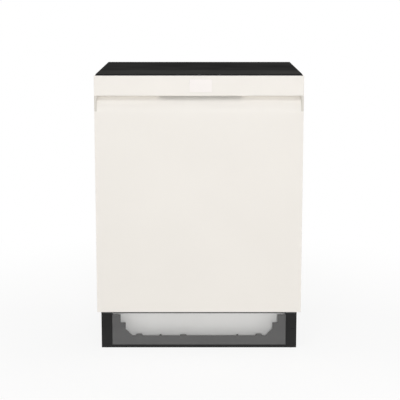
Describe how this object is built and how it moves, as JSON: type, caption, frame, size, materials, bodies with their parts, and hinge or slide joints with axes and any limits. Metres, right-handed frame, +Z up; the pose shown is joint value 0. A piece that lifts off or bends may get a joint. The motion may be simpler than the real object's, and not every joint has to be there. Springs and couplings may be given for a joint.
{
  "type": "built-under dishwasher",
  "caption": "Built-under dishwasher with a cream drop-down door, hidden full-width grip, top-edge keys, sliding wire racks, spray arms and an open toe frame.",
  "frame": {"origin": "on the floor under the centre of the appliance's bounding box", "axes": "+Z up, the door faces -Y, X is the width with +X to the right of someone facing the door"},
  "size_m": [0.598, 0.575, 0.82],
  "materials": {
    "cream_paint": "satin powder coat",
    "cream_plastic": "satin moulded",
    "pale_window": "flush translucent",
    "warm_grey_plastic": "fine texture",
    "dark_gloss": "polished",
    "charcoal_paint": "satin",
    "charcoal_plastic": "fine grain",
    "grey_plastic": "moulded",
    "light_steel": "pale primer",
    "zinc_steel": "zinc plated",
    "stainless": "brushed",
    "rubber": "matte",
    "board": "solder mask",
    "light_grey_plastic": "moulded",
    "white_plastic": "moulded",
    "motor_metal": "cast",
    "spray_plastic": "moulded",
    "rack_coating": "nylon coated wire",
    "rack_plastic": "moulded"
  },
  "bodies": {
    "cabinet": {"base_tray": "charcoal_plastic", "toe_frame": "grey_plastic", "toe_plate": "light_steel", "side_panel_left": "charcoal_paint", "side_panel_right": "charcoal_paint", "rear_panel": "zinc_steel", "cabinet_screws": "zinc_steel", "top_panel": "charcoal_plastic", "tub_wrap": "stainless", "tub_back": "stainless", "tub_floor": "stainless", "door_gasket": "rubber", "hinge_brackets": "zinc_steel", "balance_springs": "zinc_steel", "latch_strike": "zinc_steel", "sump_housing": "light_grey_plastic", "fine_filter": "stainless", "circulation_pump": "motor_metal", "water_heater": "stainless", "drain_pump": "charcoal_plastic", "drain_union": "charcoal_plastic", "inlet_valve": "white_plastic", "cable_gland": "charcoal_plastic", "salt_reservoir": "white_plastic", "spray_feed_pipe": "spray_plastic", "rack_rails": "stainless"},
    "door": {"door_skin": "cream_paint", "grip_cheeks": "warm_grey_plastic", "control_fascia": "cream_plastic", "status_window": "pale_window", "grip_pocket": "warm_grey_plastic", "control_strip": "dark_gloss", "control_board": "board", "door_liner": "stainless", "latch_case": "charcoal_plastic", "dispenser_body": "light_grey_plastic", "hinge_arms": "zinc_steel"},
    "left_front_leveller": {"foot_front_left": "charcoal_plastic"},
    "right_front_leveller": {"foot_front_right": "charcoal_plastic"},
    "rear_leveller": {"foot_rear": "charcoal_plastic"},
    "power_button": {"key_power": "dark_gloss"},
    "program_button": {"key_program": "dark_gloss"},
    "start_button": {"key_start": "dark_gloss"},
    "detergent_shutter": {"dispenser_lid": "light_grey_plastic"},
    "rinse_aid_filler": {"rinse_cap": "white_plastic"},
    "coarse_filter": {"filter_cup": "light_grey_plastic"},
    "softener_lid": {"salt_cap": "white_plastic"},
    "impeller": {"pump_impeller": "white_plastic"},
    "lower_arm": {"lower_spray_arm": "spray_plastic"},
    "ceiling_arm": {"ceiling_spray_arm": "spray_plastic"},
    "telescopic_sliders": {"rack_sliders": "spray_plastic"},
    "upper_basket": {"upper_rack": "rack_coating", "rack_feed_tube": "spray_plastic"},
    "upper_arm": {"upper_spray_arm": "spray_plastic"},
    "shelf": {"cup_shelf": "rack_coating"},
    "cutlery_drawer": {"cutlery_tray": "rack_plastic"},
    "lower_basket": {"lower_rack": "rack_coating"},
    "tine_row": {"folding_tines": "rack_coating"},
    "front_rollers": {"front_wheels": "rack_plastic"},
    "rear_rollers": {"rear_wheels": "rack_plastic"}
  },
  "joints": [
    {"name": "door_hinge", "type": "hinge", "parent": "cabinet", "child": "door", "pos_m": [0, -0.255, 0.165], "axis": [1, 0, 0], "range_deg": [0, 90], "stiffness_Nm_per_rad": 14, "deforming": ["balance_springs"]},
    {"name": "left_front_foot_screw", "type": "slide", "parent": "cabinet", "child": "left_front_leveller", "axis": [0, 0, -1], "range_m": [0, 0.045]},
    {"name": "right_front_foot_screw", "type": "slide", "parent": "cabinet", "child": "right_front_leveller", "axis": [0, 0, -1], "range_m": [0, 0.045]},
    {"name": "rear_foot_screw", "type": "slide", "parent": "cabinet", "child": "rear_leveller", "axis": [0, 0, -1], "range_m": [0, 0.045]},
    {"name": "power_press", "type": "slide", "parent": "door", "child": "power_button", "axis": [0, 0, -1], "range_m": [0, 0.0015], "stiffness_N_per_m": 400},
    {"name": "program_press", "type": "slide", "parent": "door", "child": "program_button", "axis": [0, 0, -1], "range_m": [0, 0.0015], "stiffness_N_per_m": 400},
    {"name": "start_press", "type": "slide", "parent": "door", "child": "start_button", "axis": [0, 0, -1], "range_m": [0, 0.0015], "stiffness_N_per_m": 400},
    {"name": "detergent_lid_slide", "type": "slide", "parent": "door", "child": "detergent_shutter", "axis": [0, 0, 1], "range_m": [0, 0.062]},
    {"name": "rinse_cap_twist", "type": "hinge", "parent": "door", "child": "rinse_aid_filler", "pos_m": [0.019, -0.236, 0.47], "axis": [0, 1, 0], "range_deg": [0, 90]},
    {"name": "filter_twist", "type": "hinge", "parent": "cabinet", "child": "coarse_filter", "pos_m": [0, -0.095, 0.18], "axis": [0, 0, 1], "range_deg": [0, 45]},
    {"name": "salt_cap_twist", "type": "hinge", "parent": "cabinet", "child": "softener_lid", "pos_m": [-0.185, 0.115, 0.18], "axis": [0, 0, 1], "range_deg": [0, 170]},
    {"name": "impeller_spin", "type": "hinge", "parent": "cabinet", "child": "impeller", "pos_m": [0.0703, -0.095, 0.129], "axis": [1, 0, 0], "continuous": true},
    {"name": "lower_arm_spin", "type": "hinge", "parent": "cabinet", "child": "lower_arm", "pos_m": [0, 0.01, 0.194], "axis": [0, 0, 1], "continuous": true},
    {"name": "ceiling_arm_spin", "type": "hinge", "parent": "cabinet", "child": "ceiling_arm", "pos_m": [0, 0.01, 0.783], "axis": [0, 0, 1], "continuous": true},
    {"name": "slider_travel", "type": "slide", "parent": "cabinet", "child": "telescopic_sliders", "axis": [0, -1, 0], "range_m": [0, 0.22]},
    {"name": "upper_rack_slide", "type": "slide", "parent": "cabinet", "child": "upper_basket", "axis": [0, -1, 0], "range_m": [0, 0.43]},
    {"name": "cutlery_tray_slide", "type": "slide", "parent": "cabinet", "child": "cutlery_drawer", "axis": [0, -1, 0], "range_m": [0, 0.43]},
    {"name": "lower_rack_slide", "type": "slide", "parent": "cabinet", "child": "lower_basket", "axis": [0, -1, 0], "range_m": [0, 0.45]},
    {"name": "upper_arm_spin", "type": "hinge", "parent": "upper_basket", "child": "upper_arm", "pos_m": [0, 0.01, 0.5319], "axis": [0, 0, 1], "continuous": true},
    {"name": "cup_shelf_fold", "type": "hinge", "parent": "upper_basket", "child": "shelf", "pos_m": [-0.2359, 0, 0.62], "axis": [0, -1, 0], "range_deg": [0, 80]},
    {"name": "tine_fold", "type": "hinge", "parent": "lower_basket", "child": "tine_row", "pos_m": [-0.05537, 0, 0.2355], "axis": [0, 1, 0], "range_deg": [0, 85]},
    {"name": "front_wheel_roll", "type": "hinge", "parent": "lower_basket", "child": "front_rollers", "pos_m": [0, -0.124, 0.2005], "axis": [1, 0, 0], "continuous": true},
    {"name": "rear_wheel_roll", "type": "hinge", "parent": "lower_basket", "child": "rear_rollers", "pos_m": [0, 0.1365, 0.2005], "axis": [1, 0, 0], "continuous": true}
  ],
  "couplings": [
    {"joint": "upper_rack_slide", "follows": "door_hinge", "m_per_rad": 0.27},
    {"joint": "cutlery_tray_slide", "follows": "door_hinge", "m_per_rad": 0.27},
    {"joint": "slider_travel", "follows": "door_hinge", "m_per_rad": 0.135},
    {"joint": "lower_rack_slide", "follows": "door_hinge", "m_per_rad": 0.088},
    {"joint": "front_wheel_roll", "follows": "door_hinge", "ratio": 5.1765},
    {"joint": "rear_wheel_roll", "follows": "door_hinge", "ratio": 5.1765}
  ]
}
